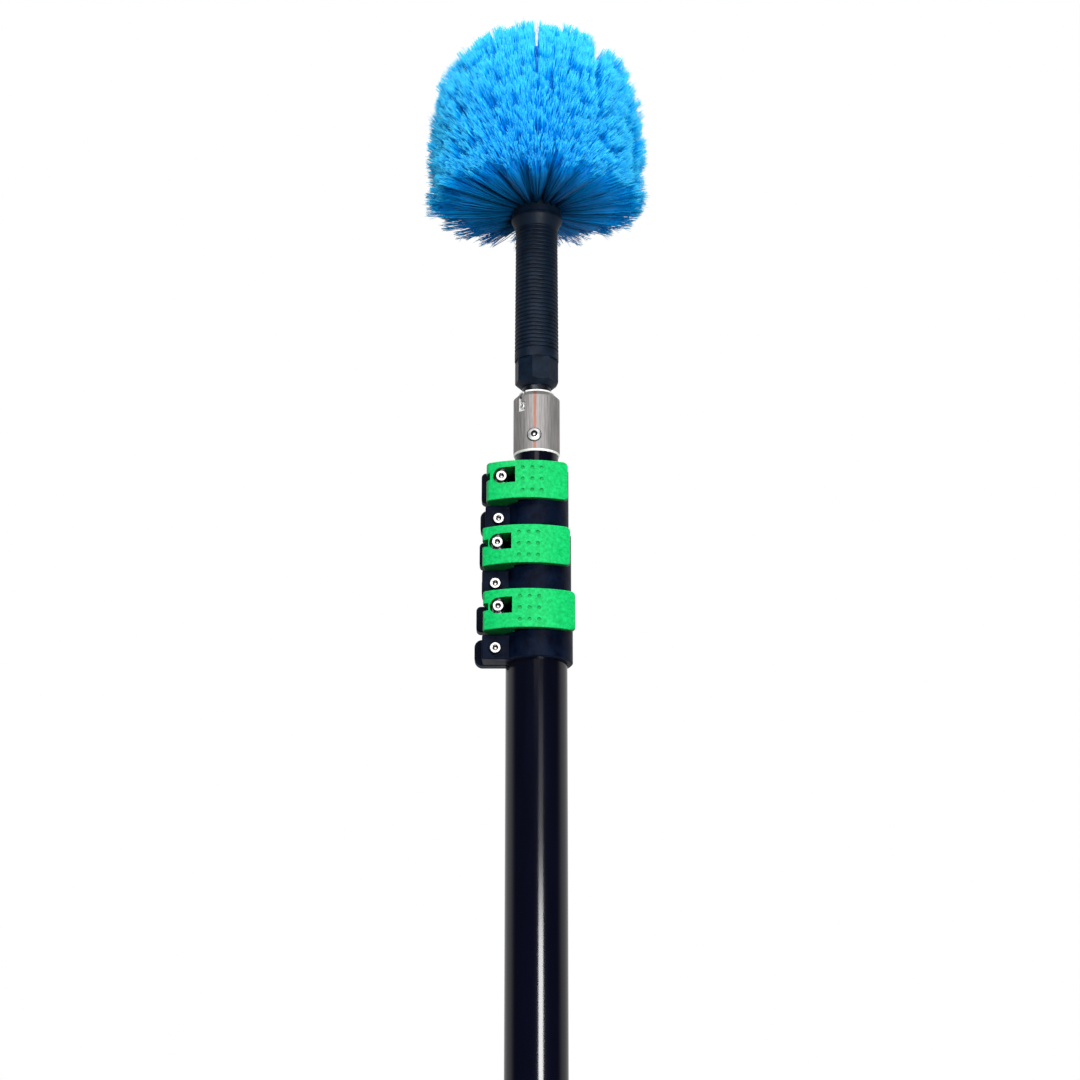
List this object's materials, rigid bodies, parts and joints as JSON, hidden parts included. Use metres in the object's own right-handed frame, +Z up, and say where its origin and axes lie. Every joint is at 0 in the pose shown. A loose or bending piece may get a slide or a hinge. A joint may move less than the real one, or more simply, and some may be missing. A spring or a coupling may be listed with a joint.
{
  "type": "telescopic cleaning pole",
  "caption": "Telescopic window cleaning pole with nested tubes, cam lever clamps, a bayonet adaptor and a domed cobweb brush head.",
  "frame": {"origin": "middle of the butt cap's bottom face, on the pole's axis", "axes": "+Z up the pole towards the brush; -Y towards the front of the clamp levers; the clamps' ears and bolts are on the -X side"},
  "size_m": [0.173, 0.173, 1.562],
  "materials": {
    "pole_tube": "satin",
    "clamp_plastic": "satin",
    "lever_plastic": "satin",
    "handle_plastic": "satin",
    "bristle_fibre": "matte",
    "bush_nylon": "matte",
    "socket_nylon": "satin",
    "butt_rubber": "matte",
    "sleeve_steel": "satin",
    "screw_steel": "polished",
    "nut_steel": "satin",
    "pin_steel": "satin",
    "insert_aluminium": "satin",
    "spigot_chrome": "polished"
  },
  "bodies": {
    "outer_section": {"outer_tube": "pole_tube", "butt_cap": "butt_rubber", "lower_clamp_body": "clamp_plastic", "lower_collar_screw": "screw_steel", "lower_collar_nut": "nut_steel"},
    "second_section": {"second_tube": "pole_tube", "second_guide_bush": "bush_nylon", "middle_clamp_body": "clamp_plastic", "middle_collar_screw": "screw_steel", "middle_collar_nut": "nut_steel"},
    "third_section": {"third_tube": "pole_tube", "third_guide_bush": "bush_nylon", "upper_clamp_body": "clamp_plastic", "upper_collar_screw": "screw_steel", "upper_collar_nut": "nut_steel"},
    "inner_section": {"inner_tube": "pole_tube", "inner_guide_bush": "bush_nylon", "adaptor_sleeve": "sleeve_steel", "socket_bush": "socket_nylon", "tube_insert": "insert_aluminium", "adaptor_screw": "screw_steel"},
    "brush": {"brush_spigot": "spigot_chrome", "locking_pin": "screw_steel", "brush_handle": "handle_plastic", "brush_core": "handle_plastic", "bristles": "bristle_fibre"},
    "lower_bolt": {"lower_tension_bolt": "screw_steel", "lower_tension_nut": "nut_steel", "lower_barrel_pin": "pin_steel"},
    "lower_lever": {"lower_lever": "lever_plastic"},
    "middle_bolt": {"middle_tension_bolt": "screw_steel", "middle_tension_nut": "nut_steel", "middle_barrel_pin": "pin_steel"},
    "middle_lever": {"middle_lever": "lever_plastic"},
    "upper_bolt": {"upper_tension_bolt": "screw_steel", "upper_tension_nut": "nut_steel", "upper_barrel_pin": "pin_steel"},
    "upper_lever": {"upper_lever": "lever_plastic"}
  },
  "joints": [
    {"name": "second_section_slide", "type": "slide", "parent": "outer_section", "child": "second_section", "axis": [0, 0, 1], "range_m": [0, 0.85]},
    {"name": "third_section_slide", "type": "slide", "parent": "second_section", "child": "third_section", "axis": [0, 0, 1], "range_m": [0, 0.85]},
    {"name": "inner_section_slide", "type": "slide", "parent": "third_section", "child": "inner_section", "axis": [0, 0, 1], "range_m": [0, 0.85]},
    {"name": "brush_twist", "type": "hinge", "parent": "inner_section", "child": "brush", "pos_m": [0, 0, 1.239], "axis": [0, 0, -1], "range_deg": [0, 10]},
    {"name": "lower_bolt_travel", "type": "slide", "parent": "outer_section", "child": "lower_bolt", "axis": [0, 1, 0], "range_m": [0, 0.0012]},
    {"name": "lower_lever_open", "type": "hinge", "parent": "lower_bolt", "child": "lower_lever", "pos_m": [-0.0283, -0.021, 1.0776], "axis": [0, 0, -1], "range_deg": [0, 110]},
    {"name": "middle_bolt_travel", "type": "slide", "parent": "second_section", "child": "middle_bolt", "axis": [0, 1, 0], "range_m": [0, 0.0012]},
    {"name": "middle_lever_open", "type": "hinge", "parent": "middle_bolt", "child": "middle_lever", "pos_m": [-0.0291, -0.0185, 1.1275], "axis": [0, 0, -1], "range_deg": [0, 110]},
    {"name": "upper_bolt_travel", "type": "slide", "parent": "third_section", "child": "upper_bolt", "axis": [0, 1, 0], "range_m": [0, 0.0012]},
    {"name": "upper_lever_open", "type": "hinge", "parent": "upper_bolt", "child": "upper_lever", "pos_m": [-0.0264, -0.0165, 1.1798], "axis": [0, 0, -1], "range_deg": [0, 110]}
  ],
  "couplings": [
    {"joint": "lower_bolt_travel", "follows": "lower_lever_open", "m_per_rad": 0.000625},
    {"joint": "middle_bolt_travel", "follows": "middle_lever_open", "m_per_rad": 0.000625},
    {"joint": "upper_bolt_travel", "follows": "upper_lever_open", "m_per_rad": 0.000625}
  ]
}
